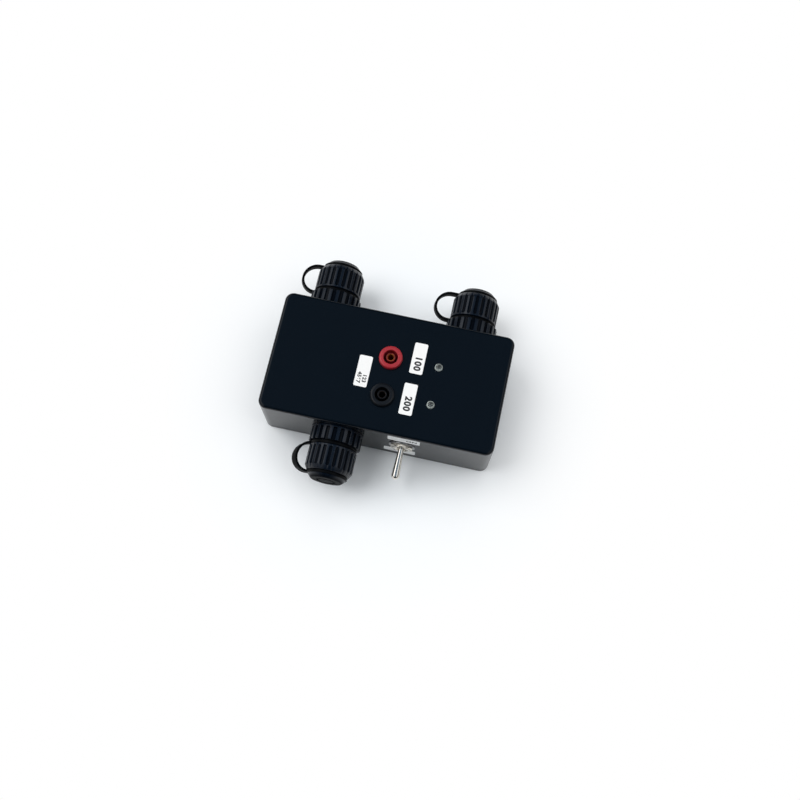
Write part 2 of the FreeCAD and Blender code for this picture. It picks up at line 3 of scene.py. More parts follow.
import bmesh
import bpy
from mathutils import Matrix, Vector
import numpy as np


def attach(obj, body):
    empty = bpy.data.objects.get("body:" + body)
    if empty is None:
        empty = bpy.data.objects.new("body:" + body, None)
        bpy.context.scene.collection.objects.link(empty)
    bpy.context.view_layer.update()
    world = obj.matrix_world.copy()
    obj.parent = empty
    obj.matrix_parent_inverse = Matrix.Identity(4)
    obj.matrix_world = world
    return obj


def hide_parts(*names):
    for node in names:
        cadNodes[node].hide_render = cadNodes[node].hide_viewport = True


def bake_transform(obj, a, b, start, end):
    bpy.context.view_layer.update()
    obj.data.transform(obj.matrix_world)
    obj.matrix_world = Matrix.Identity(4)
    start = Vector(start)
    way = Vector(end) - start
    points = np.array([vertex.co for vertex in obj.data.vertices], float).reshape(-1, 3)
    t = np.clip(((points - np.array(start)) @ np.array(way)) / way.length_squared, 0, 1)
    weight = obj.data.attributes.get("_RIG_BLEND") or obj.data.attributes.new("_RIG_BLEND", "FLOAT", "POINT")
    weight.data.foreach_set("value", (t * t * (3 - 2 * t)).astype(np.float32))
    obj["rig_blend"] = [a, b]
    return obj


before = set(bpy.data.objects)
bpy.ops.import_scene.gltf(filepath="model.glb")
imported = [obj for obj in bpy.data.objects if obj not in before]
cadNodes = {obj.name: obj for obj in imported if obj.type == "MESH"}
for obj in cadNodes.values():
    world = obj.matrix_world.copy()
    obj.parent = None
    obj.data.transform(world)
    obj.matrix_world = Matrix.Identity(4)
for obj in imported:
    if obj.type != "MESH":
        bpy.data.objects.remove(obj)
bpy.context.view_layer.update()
print("frame loaded,", len(cadNodes), "nodes")

mm = 0.001


# A socket of a material that can stand in a plain expression, such as 1 - mask * 0.4
class Signal:
    def __init__(self, graph, socket):
        self.graph = graph
        self.socket = socket

    def combine(self, operation, first, second):
        return self.graph.node("Math", {"operation": operation}, {0: first, 1: second})

    def __add__(self, other):
        return self.combine("ADD", self, other)

    def __radd__(self, other):
        return self.combine("ADD", other, self)

    def __sub__(self, other):
        return self.combine("SUBTRACT", self, other)

    def __rsub__(self, other):
        return self.combine("SUBTRACT", other, self)

    def __mul__(self, other):
        return self.combine("MULTIPLY", self, other)

    def __rmul__(self, other):
        return self.combine("MULTIPLY", other, self)

    def above(self, level):
        return self.combine("GREATER_THAN", self, level)


# A node tree that is filled by one method
class Graph:
    def __init__(self, tree):
        self.tree = tree
        tree.nodes.clear()

    def node(self, kind, settings=None, inputs=None, output=0):
        made = self.tree.nodes.new("ShaderNode" + kind)
        for name, value in (settings or {}).items():
            if name == "stops":
                self.setStops(made.color_ramp, value)
            else:
                setattr(made, name, value)
        for name, value in (inputs or {}).items():
            if isinstance(value, Signal):
                self.tree.links.new(value.socket, made.inputs[name])
            else:
                made.inputs[name].default_value = value
        return Signal(self, made.outputs[output]) if made.outputs else None

    def setStops(self, ramp, stops):
        while len(ramp.elements) < len(stops):
            ramp.elements.new(1.0)
        for element, (place, value) in zip(ramp.elements, stops):
            element.position = place
            element.color = (value, value, value, 1.0)

    # place on the piece in millimetres
    def place(self, stretch=(1, 1, 1)):
        position = self.node("TexCoord", output="Object")
        scale = tuple(part / mm for part in stretch)
        return self.node("VectorMath", {"operation": "MULTIPLY"}, {0: position, 1: scale})

    def noise(self, size, detail=2.0, roughness=0.5, stretch=(1, 1, 1)):
        return self.node("TexNoise", {}, {"Vector": self.place(stretch), "Scale": 1 / size,
                                          "Detail": detail, "Roughness": roughness})

    def steps(self, value, stops):
        return self.node("ValToRGB", {"stops": stops}, {"Fac": value})

    def blend(self, mask, first, second):
        return self.node("Mix", {"data_type": "RGBA"},
                         {0: mask, 6: (*first, 1), 7: (*second, 1)}, 2)

    def relief(self, height, depth):
        return self.node("Bump", {}, {"Height": height, "Strength": 1.0, "Distance": depth * mm})


def newMaterial(name):
    material = bpy.data.materials.new(name)
    material.use_nodes = True
    return material, Graph(material.node_tree)


def darkened(colour, share):
    return tuple(part * share for part in colour)


# Painted shade in the grooves: a dark matt layer that begins at the shallow depth in millimetres and covers
# most at the deep one, patchy by noise
grooveShade = {"colour": (0.0008, 0.0014, 0.0024), "grain": 0.8, "patchy": 0.3, "shallow": 0.12,
              "deep": 0.7}


# Millimetres that a point was carved below its turned outline come with the mesh as "sunk"; where a material
# asks for it, deep points get painted shade
def finishMaterial(graph, inputs, shadeShare=0.0):
    shader = graph.node("BsdfPrincipled", {}, inputs)
    if shadeShare:
        sunk = graph.node("Attribute", {"attribute_name": "sunk"}, output="Fac")
        shadeNoise = graph.noise(grooveShade["grain"], 3.0)
        # painted shade: a dark matt surface mixed over the deep parts
        matt = graph.node("BsdfDiffuse", {}, {"Color": (*grooveShade["colour"], 1)})
        depth = graph.steps(sunk, ((grooveShade["shallow"], 0.0), (grooveShade["deep"], 1.0)))
        cover = depth * (shadeShare + (shadeNoise - 0.5) * grooveShade["patchy"])
        shader = graph.node("MixShader", {}, {0: cover, 1: shader, 2: matt})
    graph.node("OutputMaterial", {}, {"Surface": shader})


# Moulded plastic or rubber: fine spark grain, slow mottling and a few rubbed patches
def mouldedPlastic(name, look):
    material, graph = newMaterial(name)
    mottling = graph.noise(look["mottling"], 3.0)
    grain = graph.noise(look["grain"], 2.0, 0.6)
    rubbed = graph.steps(graph.noise(look["rubSize"], 4.0, 0.65), ((0.52, 0.0), (0.72, 1.0)))
    darker = darkened(look["colour"], look["shade"])
    roughness = look["roughness"] + (grain - 0.5) * look["grainRoughness"] - rubbed * look["polish"]
    finishMaterial(graph, {
        "Base Color": graph.blend(mottling, darker, look["colour"]),
        "Roughness": roughness,
        "IOR": look.get("ior", 1.5),
        "Normal": graph.relief(grain, look["grainDepth"])}, look.get("shadeShare", 0.0))
    return material


# Turned or stamped metal: fine lines round the axis or along the sheet
def workedMetal(name, look):
    material, graph = newMaterial(name)
    lines = graph.noise(look["lineSize"], 2.0, 0.5, look["stretch"])
    stains = graph.noise(look["stainSize"], 4.0, 0.6)
    roughness = look["roughness"] + lines * look["lineRoughness"] + stains * look["stainRoughness"]
    finishMaterial(graph, {
        "Base Color": graph.blend(stains, darkened(look["colour"], look["shade"]), look["colour"]),
        "Metallic": 1.0,
        "Roughness": roughness,
        "Normal": graph.relief(lines, look["lineDepth"])})
    return material


# Clear cast resin with faint flow marks, and a whitish matt band low down on the dome as a painted
# reflection of the clear dome's bright rim
def castResin(name, look):
    material, graph = newMaterial(name)
    flow = graph.noise(look["flowSize"], 2.0)
    resin = graph.node("BsdfPrincipled", {}, {
        "Base Color": (*look["colour"], 1),
        "Roughness": look["roughness"] + flow * look["flowRoughness"],
        "IOR": 1.5,
        "Transmission Weight": look["clearness"],
        "Normal": graph.relief(flow, look["flowDepth"])})
    height = graph.node("SeparateXYZ", {}, {0: graph.place()}, 2)
    low, high = look["paintedRimFade"]
    rise = (height - look["paintedRimFoot"]) * (1 / look["paintedRimSpan"]) + (flow - 0.5) * 0.12
    cover = graph.steps(rise, ((low, 1.0), (high, 0.0))) * look["paintedRim"]
    # painted reflection: a whitish matt band that stands for the dome's bright rim
    paintedRim = graph.node("BsdfDiffuse", {}, {"Color": (*look["paintedRimColour"], 1)})
    shader = graph.node("MixShader", {}, {0: cover, 1: resin, 2: paintedRim})
    graph.node("OutputMaterial", {}, {"Surface": shader})
    return material


# Laminated tape: white paper colour under a faint satin film
def laminatedTape(name, look):
    material, graph = newMaterial(name)
    fibre = graph.noise(look["fibre"], 3.0)
    film = graph.noise(look["filmSize"], 2.0)
    finishMaterial(graph, {
        "Base Color": graph.blend(fibre, darkened(look["colour"], look["shade"]), look["colour"]),
        "Roughness": look["roughness"] + film * 0.08,
        "Coat Weight": 0.15,
        "Coat Roughness": 0.2,
        "Normal": graph.relief(film, look["filmDepth"])})
    return material


# Circuit board: solder mask with copper tracks under it
def circuitBoard(name, look):
    material, graph = newMaterial(name)
    tracks = graph.node("TexBrick", {"offset": 0.5}, {
        "Vector": graph.place(), "Scale": 1 / look["trackSpacing"],
        "Mortar Size": look["trackWidth"]}, "Fac")
    weave = graph.noise(look["weave"], 2.0)
    finishMaterial(graph, {
        "Base Color": graph.blend(tracks, look["mask"], look["track"]),
        "Roughness": look["roughness"] + weave * 0.1,
        "Normal": graph.relief(tracks + weave * 0.3, look["trackHeight"])})
    return material


plasticLooks = {
    "boxPlastic": {"colour": (0.0006, 0.0030, 0.0064), "shade": 0.8, "mottling": 22.0,
                   "grain": 0.35, "rubSize": 30.0, "roughness": 0.22, "grainRoughness": 0.08,
                   "polish": 0.05, "grainDepth": 0.004, "ior": 1.33},
    # the caps take painted shade in their grooves, at the share given last
    "capPlastic": {"colour": (0.0011, 0.0045, 0.0110), "shade": 0.75, "mottling": 9.0, "grain": 0.3,
                   "rubSize": 8.0, "roughness": 0.30, "grainRoughness": 0.1, "polish": 0.06,
                   "grainDepth": 0.005, "ior": 1.41, "shadeShare": 0.8},
    "strapPlastic": {"colour": (0.0006, 0.0009, 0.0014), "shade": 0.8, "mottling": 7.0,
                     "grain": 0.25, "rubSize": 6.0, "roughness": 0.5, "grainRoughness": 0.1,
                     "polish": 0.08, "grainDepth": 0.006, "ior": 1.18},
    "sealRubber": {"colour": (0.012, 0.012, 0.012), "shade": 0.7, "mottling": 4.0, "grain": 0.15,
                   "rubSize": 5.0, "roughness": 0.7, "grainRoughness": 0.1, "polish": 0.05,
                   "grainDepth": 0.01},
    "insertPlastic": {"colour": (0.012, 0.012, 0.013), "shade": 0.8, "mottling": 6.0, "grain": 0.2,
                      "rubSize": 5.0, "roughness": 0.3, "grainRoughness": 0.06, "polish": 0.03,
                      "grainDepth": 0.004},
    "jackRed": {"colour": (0.38, 0.020, 0.030), "shade": 0.85, "mottling": 6.0, "grain": 0.25,
                "rubSize": 5.0, "roughness": 0.34, "grainRoughness": 0.08, "polish": 0.06,
                "grainDepth": 0.004},
    # darker copy of the jack's red: painted shade for the sleeve low in the recess
    "shadedJackRed": {"colour": (0.17, 0.009, 0.011), "shade": 0.8, "mottling": 3.0, "grain": 0.2,
                      "rubSize": 3.0, "roughness": 0.3, "grainRoughness": 0.08, "polish": 0.05,
                      "grainDepth": 0.004},
    "jackBlack": {"colour": (0.0050, 0.0062, 0.0085), "shade": 0.8, "mottling": 6.0, "grain": 0.25,
                  "rubSize": 5.0, "roughness": 0.34, "grainRoughness": 0.08, "polish": 0.06,
                  "grainDepth": 0.004, "ior": 1.36},
    "switchPlastic": {"colour": (0.06, 0.035, 0.022), "shade": 0.8, "mottling": 5.0, "grain": 0.2,
                      "rubSize": 6.0, "roughness": 0.45, "grainRoughness": 0.1, "polish": 0.05,
                      "grainDepth": 0.006},
    "resistorCoat": {"colour": (0.28, 0.2, 0.11), "shade": 0.85, "mottling": 1.5, "grain": 0.2,
                     "rubSize": 2.0, "roughness": 0.4, "grainRoughness": 0.1, "polish": 0.05,
                     "grainDepth": 0.006},
    "redSleeve": {"colour": (0.42, 0.015, 0.015), "shade": 0.85, "mottling": 5.0, "grain": 0.2,
                  "rubSize": 5.0, "roughness": 0.4, "grainRoughness": 0.08, "polish": 0.05,
                  "grainDepth": 0.004},
    "blackSleeve": {"colour": (0.01, 0.01, 0.011), "shade": 0.8, "mottling": 5.0, "grain": 0.2,
                    "rubSize": 5.0, "roughness": 0.4, "grainRoughness": 0.08, "polish": 0.05,
                    "grainDepth": 0.004},
    "labelInk": {"colour": (0.012, 0.012, 0.014), "shade": 0.8, "mottling": 1.0, "grain": 0.1,
                 "rubSize": 1.5, "roughness": 0.45, "grainRoughness": 0.1, "polish": 0.05,
                 "grainDepth": 0.002},
}
metalLooks = {
    "brass": {"colour": (0.80, 0.56, 0.25), "shade": 0.75, "lineSize": 0.08, "stretch": (1, 1, 0.1),
              "stainSize": 1.5, "roughness": 0.2, "lineRoughness": 0.1, "stainRoughness": 0.08,
              "lineDepth": 0.004},
    # brass painted orange-red: the red light and glint inside the red jack's bore
    "redLitBrass": {"colour": (0.86, 0.27, 0.07), "shade": 0.6, "lineSize": 0.08,
                 "stretch": (1, 1, 0.1), "stainSize": 1.2, "roughness": 0.42,
                 "lineRoughness": 0.1, "stainRoughness": 0.08, "lineDepth": 0.004},
    # brass darkened as painted shade, for a contact deep in a dark bore
    "shadedBrass": {"colour": (0.07, 0.05, 0.04), "shade": 0.7, "lineSize": 0.08,
                     "stretch": (1, 1, 0.1), "stainSize": 1.5, "roughness": 0.3,
                     "lineRoughness": 0.1, "stainRoughness": 0.08, "lineDepth": 0.004},
    "nickel": {"colour": (0.78, 0.75, 0.69), "shade": 0.86, "lineSize": 0.1,
               "stretch": (1, 0.15, 1), "stainSize": 2.5, "roughness": 0.08,
               "lineRoughness": 0.1, "stainRoughness": 0.06, "lineDepth": 0.003},
    "satinNickel": {"colour": (0.80, 0.76, 0.68), "shade": 0.84, "lineSize": 0.1,
                    "stretch": (1, 0.15, 1), "stainSize": 2.5, "roughness": 0.15,
                    "lineRoughness": 0.1, "stainRoughness": 0.08, "lineDepth": 0.004},
    "postSteel": {"colour": (0.17, 0.18, 0.18), "shade": 0.7, "lineSize": 0.1,
                  "stretch": (1, 0.2, 1), "stainSize": 0.8, "roughness": 0.35,
                  "lineRoughness": 0.1, "stainRoughness": 0.08, "lineDepth": 0.004},
    "steel": {"colour": (0.56, 0.56, 0.57), "shade": 0.8, "lineSize": 0.12, "stretch": (1, 0.2, 1),
              "stainSize": 2.0, "roughness": 0.28, "lineRoughness": 0.12, "stainRoughness": 0.08,
              "lineDepth": 0.004},
}

materials = {name: mouldedPlastic(name, look) for name, look in plasticLooks.items()}
materials.update({name: workedMetal(name, look) for name, look in metalLooks.items()})
# the lamps' whitish band low on the dome is a painted reflection
materials["lampResin"] = castResin("lampResin", {
    "colour": (0.78, 0.85, 0.83), "clearness": 0.95, "roughness": 0.02, "flowRoughness": 0.05,
    "flowSize": 1.2, "flowDepth": 0.01, "paintedRimColour": (0.74, 0.82, 0.78), "paintedRim": 0.66,
    "paintedRimFoot": 46.0, "paintedRimSpan": 2.2, "paintedRimFade": (0.52, 0.72)})
materials["labelTape"] = laminatedTape("labelTape", {
    "colour": (0.94, 0.94, 0.93), "shade": 0.97, "fibre": 0.4, "filmSize": 3.0, "filmDepth": 0.01,
    "roughness": 0.4})
materials["circuitBoard"] = circuitBoard("circuitBoard", {
    "mask": (0.02, 0.12, 0.045), "track": (0.035, 0.17, 0.06), "trackSpacing": 2.54,
    "trackWidth": 0.08, "weave": 0.6, "roughness": 0.35, "trackHeight": 0.02})
print("materials made:", len(materials))


arcPoints = 4  # on every softened corner


# Corners of an outline cut to short arcs; a point may bring its own corner radius
def softened(points, radius):
    made = []
    for index, point in enumerate(points):
        corner = Vector(point[:2])
        size = point[2] if len(point) > 2 else radius
        if size <= 0:
            made.append((corner.x, corner.y))
            continue
        before = Vector(points[index - 1][:2]) - corner
        after = Vector(points[(index + 1) % len(points)][:2]) - corner
        reach = min(size, 0.45 * before.length, 0.45 * after.length)  # neighbours never meet
        first = corner + before.normalized() * reach
        last = corner + after.normalized() * reach
        for step in range(arcPoints):
            share = step / (arcPoints - 1)
            spot = first * (1 - share) ** 2 + corner * (2 * share * (1 - share)) + last * share ** 2
            made.append((spot.x, spot.y))
    return made


# More points along the outer faces of an outline
def withStations(outline, stations, leastRadius):
    made = []
    for index, (radius, station) in enumerate(outline):
        made.append((radius, station))
        nextRadius, nextStation = outline[(index + 1) % len(outline)]
        if min(radius, nextRadius) < leastRadius or abs(nextStation - station) < 1e-6:
            continue
        low, high = sorted((station, nextStation))
        between = [extra for extra in stations if low < extra < high]
        for extra in sorted(between, reverse=nextStation < station):
            share = (extra - station) / (nextStation - station)
            made.append((radius + (nextRadius - radius) * share, extra))
    return made


# Points of an arc about a middle point, both ends among them
def arcOutline(middle, radius, first, last, steps):
    angles = [first + (last - first) * step / steps for step in range(steps + 1)]
    return [(middle[0] + radius * math.cos(angle), middle[1] + radius * math.sin(angle))
            for angle in angles]


def evenAngles(count):
    return [2 * math.pi * index / count for index in range(count)]


# Angles that are dense where a groove has its walls; offsets from the middle line to one side are
# in millimetres at the radius, and the other side gets the same
def ribAngles(count, radius, offsets):
    pitch = 2 * math.pi / count
    offsets = [-offset for offset in reversed(offsets[1:])] + list(offsets)
    return [pitch * index + offset / radius for index in range(count) for offset in offsets]


# Millimetres from the middle line of the nearest groove
def acrossGroove(angle, count, radius):
    pitch = 2 * math.pi / count
    return ((angle + pitch / 2) % pitch - pitch / 2) * radius


def smoothStep(low, high, value):
    share = min(max((value - low) / (high - low), 0.0), 1.0)
    return share * share * (3 - 2 * share)


# 1 inside a groove and 0 outside; fade says where the wall starts and ends past half the width
def grooveMask(away, half, fade):
    return 1 - smoothStep(half + fade[0], half + fade[1], away)


# Faces between neighbouring rows of points; points that two rows share make a triangle
def joinRows(mesh, rows, spans, around=True):
    for row, following in zip(rows, rows[1:] + rows[:1] if around else rows[1:]):
        for step in range(spans):
            after = (step + 1) % len(row)
            corners = dict.fromkeys((row[step], row[after], following[after], following[step]))
            if len(corners) > 2:
                mesh.faces.new(list(corners))


# Outline of (radius, station) turned about +Y; carve gives the radius left at an angle and station
def turned(outline, angles, carve=None, closed=True):
    mesh = bmesh.new()
    sunk = mesh.verts.layers.float.new("sunk")
    poles = {station: mesh.verts.new((0.0, station, 0.0))
             for radius, station in outline if radius <= 0}
    rows = []
    for angle in angles:
        row = []
        for radius, station in outline:
            if radius <= 0:
                row.append(poles[station])
                continue
            left = carve(angle, station, radius) if carve else radius
            vertex = mesh.verts.new((left * math.sin(angle), station, left * math.cos(angle)))
            vertex[sunk] = radius - left
            row.append(vertex)
        rows.append(row)
    joinRows(mesh, rows, len(outline) if closed else len(outline) - 1)
    bmesh.ops.remove_doubles(mesh, verts=mesh.verts, dist=1e-6)
    bmesh.ops.recalc_face_normals(mesh, faces=mesh.faces)
    return mesh


def addObject(name, data):
    made = bpy.data.objects.new(name, data)
    bpy.context.scene.collection.objects.link(made)
    return made


# Millimetre mesh made into a piece that stands in the frame, smooth but for its real corners
def makePiece(name, mesh, materialName, move, body="box", sharpFrom=38.0):
    mesh.transform(move)
    mesh.transform(Matrix.Scale(mm, 4))
    limit = math.radians(sharpFrom)
    for edge in mesh.edges:
        edge.smooth = len(edge.link_faces) != 2 or edge.calc_face_angle(0.0) < limit
    for face in mesh.faces:
        face.smooth = True
    data = bpy.data.meshes.new(name)
    mesh.to_mesh(data)
    mesh.free()
    piece = addObject(name, data)
    data.materials.append(materials[materialName])
    if body:
        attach(piece, body)
    return piece


# Where the photograph was taken from, fitted to the edges of the box
photoView = {
    "place": (0.04553, -0.19569, 0.66576),
    "right": (0.9768, 0.2139, 0.0083),
    "up": (-0.2075, 0.9366, 0.2822),
    "lens": 46.63,
    "sensor": 36.0,
}
studio = {
    "floorSize": 6.0,
    "floorDrop": 0.0002,  # metres below the box
    "floorColour": (0.932, 0.963, 0.985),
    "floorShade": 0.99,  # darkest share of that colour in the paper's mottling
    "glowStart": 0.07,  # metres from the middle at which the paper begins to show plain white
    "glowEnd": 0.15,
    "suns": {  # turn from +Y towards +X and height in degrees, strength, width in degrees
        "keyLight": (-86.0, 52.0, 1.90, 47.0),
        "rightLight": (80.0, 54.0, 0.75, 44.0),
        "backLight": (0.0, 57.0, 0.62, 40.0)},
}


def addCamera():
    lens = bpy.data.cameras.new("camera")
    lens.lens = photoView["lens"]
    lens.sensor_width = photoView["sensor"]
    lens.clip_start = 0.01
    lens.clip_end = 50.0
    camera = addObject("camera", lens)
    right = Vector(photoView["right"]).normalized()
    up = Vector(photoView["up"])
    up = (up - right * up.dot(right)).normalized()
    turn = Matrix((right, up, right.cross(up))).transposed().to_4x4()
    camera.matrix_world = Matrix.Translation(photoView["place"]) @ turn
    bpy.context.scene.camera = camera


# 1 for what the camera sees itself, in gloss or through the lamps
def seenDirectly(graph):
    rays = [graph.node("LightPath", output=name)
            for name in ("Is Camera Ray", "Is Glossy Ray", "Is Transmission Ray")]
    return (rays[0] + rays[1] + rays[2]).above(0.5)


def addFloor():
    material, graph = newMaterial("floorPaper")
    mottling = graph.noise(120.0, 3.0)
    paper, darkPaper = (
        graph.node("BsdfDiffuse", {}, {"Color": (*darkened(studio["floorColour"], share), 1)})
        for share in (1.0, studio["floorShade"]))
    lit = graph.node("MixShader", {}, {0: mottling, 1: darkPaper, 2: paper})
    white = graph.node("Emission", {}, {"Color": (1, 1, 1, 1), "Strength": 1.0})
    position = graph.node("TexCoord", output="Object")
    away = graph.node("VectorMath", {"operation": "LENGTH"}, {0: position}, "Value")
    start, end = studio["glowStart"], studio["glowEnd"]
    far = graph.steps((away - start) * (1 / (end - start)), ((0.0, 0.0), (1.0, 1.0)))
    shown = graph.node("MixShader", {}, {0: seenDirectly(graph) * far, 1: lit, 2: white})
    graph.node("OutputMaterial", {}, {"Surface": shown})
    half, drop = studio["floorSize"] / 2, studio["floorDrop"]
    corners = ((-half, -half), (half, -half), (half, half), (-half, half))
    data = bpy.data.meshes.new("floor")
    data.from_pydata([(x, y, -drop) for x, y in corners], [], [(0, 1, 2, 3)])
    data.materials.append(material)
    floor = addObject("floor", data)


def addSun(name, turn, height, strength, width):
    sun = bpy.data.lights.new(name, "SUN")
    sun.energy = strength
    sun.angle = math.radians(width)
    light = addObject(name, sun)
    turn, height = math.radians(turn), math.radians(height)
    towards = Vector((math.sin(turn) * math.cos(height), math.cos(turn) * math.cos(height),
                      math.sin(height)))
    light.rotation_mode = "QUATERNION"
    light.rotation_quaternion = towards.to_track_quat("Z", "Y")
    light.visible_glossy = False


# Stops of boxesAcross run from -X to +X, those of boxesUp and roof from the horizon to the zenith
skyLook = {
    "fill": (0.204, 0.216, 0.227),  # what lights matt surfaces
    "roofColour": (0.17, 0.23, 0.31),  # what gloss sees overhead
    "roof": ((0.0, 0.3), (0.25, 0.06), (0.7, 0.08), (0.88, 1.0)),
    "boxes": 1.8,  # strength of the soft boxes that gloss sees left and right
    "boxesAcross": ((0.0, 0.3), (0.1, 1.0), (0.25, 1.0), (0.33, 0.0), (0.67, 0.0), (0.77, 0.55),
                    (0.9, 0.55), (1.0, 0.15)),
    "boxesUp": ((0.0, 0.1), (0.42, 0.12), (0.6, 1.0), (0.84, 1.0), (0.93, 0.0)),
}


# Plain fill for matt surfaces, soft boxes left and right for gloss, white for the camera
def addSky():
    world = bpy.data.worlds.new("studioSky")
    world.use_nodes = True
    bpy.context.scene.world = world
    graph = Graph(world.node_tree)
    direction = graph.node("TexCoord", output="Generated")
    across = graph.node("SeparateXYZ", {}, {0: direction}, "X")
    height = graph.node("SeparateXYZ", {}, {0: direction}, "Z")
    sides = graph.steps(across * 0.5 + 0.5, skyLook["boxesAcross"])
    band = graph.steps(height, skyLook["boxesUp"])
    overhead = graph.steps(height, skyLook["roof"])
    glow = {name: graph.node("Background", {}, {"Color": (*colour, 1), "Strength": strength})
            for name, colour, strength in (
                ("fill", skyLook["fill"], 1.0), ("roof", skyLook["roofColour"], 1.0),
                ("boxes", (1, 1, 1), skyLook["boxes"]), ("dark", (0, 0, 0), 1.0),
                ("white", (1, 1, 1), 1.0))}
    roof = graph.node("MixShader", {}, {0: overhead, 1: glow["dark"], 2: glow["roof"]})
    boxes = graph.node("MixShader", {}, {0: sides * band, 1: glow["dark"], 2: glow["boxes"]})
    gloss = graph.node("AddShader", {}, {0: roof, 1: boxes})
    glossy = graph.node("LightPath", output="Is Glossy Ray")
    direct = graph.node("LightPath", output="Is Camera Ray")
    lit = graph.node("MixShader", {}, {0: glossy, 1: glow["fill"], 2: gloss})
    shown = graph.node("MixShader", {}, {0: direct, 1: lit, 2: glow["white"]})
    graph.node("OutputWorld", {}, {"Surface": shown})


bpy.context.scene.view_settings.view_transform = "Standard"
addCamera()
addFloor()
for sunName, sunLook in studio["suns"].items():
    addSun(sunName, *sunLook)
addSky()
print("camera, floor and light set")


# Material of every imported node, by the longest ending that its name has
nodeMaterials = {
    "enclosure_tub": "boxPlastic", "bottom_cover": "boxPlastic", "cover_screws": "steel",
    "panel_gasket": "sealRubber", "contact_insert": "insertPlastic", "contacts": "brass",
    "cap_seal": "sealRubber", "socket_shell": "capPlastic", "clamp_ring": "capPlastic",
    "cap": "capPlastic", "cap_strap": "strapPlastic", "red_jack_contact": "redLitBrass",
    "black_jack_contact": "shadedBrass", "jack_nut": "nickel",
    "red_jack_body": "jackRed", "black_jack_body": "jackBlack", "upper_lamp": "lampResin",
    "lower_lamp": "lampResin", "lamp_legs": "steel", "lamp_board": "circuitBoard",
    "board_resistors": "resistorCoat", "switch_bushing": "nickel", "switch_case": "switchPlastic",
    "switch_terminals": "steel", "switch_lock_washer": "steel", "switch_nut": "nickel",
    "switch_lever": "nickel", "left_label": "labelTape", "upper_label": "labelTape",
    "lower_label": "labelTape", "on_label": "labelTape", "off_label": "labelTape",
    "red_wires": "redSleeve", "black_wires": "blackSleeve",
}


def dressNodes():
    for name, node in cadNodes.items():
        endings = [ending for ending in nodeMaterials if name.endswith(ending)]
        material = materials[nodeMaterials[max(endings, key=len)]]
        node.data.materials.clear()
        node.data.materials.append(material)


dressNodes()
print("packed nodes dressed")


# Cable sockets: place along X and the wall that each stands on
sockets = {"front": (-24.0, -1), "back_left": (-45.8, 1), "back_right": (45.8, 1)}
wallFace = 39.5
axisHeight = 24.5
halfTurn = Matrix.Rotation(math.pi, 4, "Z")  # turns +Y to -Y


# From a socket's own frame, drawn along +Y from the wall face, to its place on the box
def socketPlace(x, side):
    move = Matrix.Translation((x, side * wallFace, axisHeight))
    return move @ halfTurn if side < 0 else move


shellSizes = {"radius": 12.5, "boreRadius": 10.5, "reach": 25.0, "flangeRadius": 14.6,
              "tailRadius": 11.3, "lipRadius": 9.3, "tailEnd": -13.0, "flangeBack": -5.7,
              "flangeFront": -3.5, "lip": 2.0, "edge": 0.15, "pitch": 2.5, "threadDepth": 0.45,
              "threadStart": 12.2, "threadEnd": 24.2, "threadRows": 76, "threadStep": 0.16,
              "carveFrom": 12.3, "sides": 96}


def socketShell(name, move):
    size = shellSizes
    outline = softened([
        (size["lipRadius"], size["tailEnd"]), (size["tailRadius"], size["tailEnd"]),
        (size["tailRadius"], size["flangeBack"]), (size["flangeRadius"], size["flangeBack"]),
        (size["flangeRadius"], size["flangeFront"]), (size["radius"], size["flangeFront"]),
        (size["radius"], size["reach"], 0.7), (size["boreRadius"], size["reach"], 0.4),
        (size["boreRadius"], size["tailEnd"] + size["lip"]),
        (size["lipRadius"], size["tailEnd"] + size["lip"])], size["edge"])
    start = size["threadStart"]
    stations = [start + size["threadStep"] * step for step in range(size["threadRows"])]
    outline = withStations(outline, stations, size["carveFrom"])

    # one right-hand thread, sunk into the shell
    def carve(angle, station, radius):
        if radius < size["carveFrom"] or station < start:
            return radius
        phase = (station / size["pitch"] - angle / (2 * math.pi)) % 1.0
        dip = smoothStep(0.12, 0.4, 0.5 - abs(phase - 0.5))
        ends = smoothStep(start, start + 1.5, station)
        ends *= 1 - smoothStep(size["threadEnd"] - 0.5, size["threadEnd"], station)
        return radius - size["threadDepth"] * dip * ends

    mesh = turned(outline, evenAngles(size["sides"]), carve)
    shell = makePiece(name + "_threaded_shell", mesh, "capPlastic", move)
    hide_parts(name + "_socket_shell")


clampSizes = {"radius": 16.7, "bore": 12.55, "length": 9.6, "slots": 22, "slotWidth": 2.1,
              "slotDepth": 1.2, "rim": 1.3, "edge": 0.35, "carveFrom": 16.0,
              "wallFade": (-0.16, 0.34), "wallRows": (-0.18, -0.04, 0.1, 0.24, 0.38, 0.7)}


def clampRing(name, move):
    size = clampSizes
    outline = softened([
        (size["bore"], 0.0), (size["radius"], 0.0), (size["radius"], size["length"], 0.6),
        (size["bore"], size["length"])], size["edge"])
    rim = size["rim"]
    stations = [rim - 0.15, rim, rim + 0.12, rim + 0.3, 3.5, 6.0]
    outline = withStations(outline, stations, size["carveFrom"])
    half = size["slotWidth"] / 2
    wall = [half + row for row in size["wallRows"]]
    angles = ribAngles(size["slots"], size["radius"], [0.0, 0.5 * half] + wall)

    def carve(angle, station, radius):
        across = acrossGroove(angle, size["slots"], size["radius"])
        mask = grooveMask(abs(across), half, size["wallFade"])
        mask *= smoothStep(rim - 0.1, rim + 0.25, station)
        floor = size["radius"] - size["slotDepth"]
        return radius if radius < floor else radius + (min(radius, floor) - radius) * mask

    mesh = turned(outline, angles, carve)
    ring = makePiece(name + "_ribbed_ring", mesh, "capPlastic", move)
    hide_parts(name + "_clamp_ring")


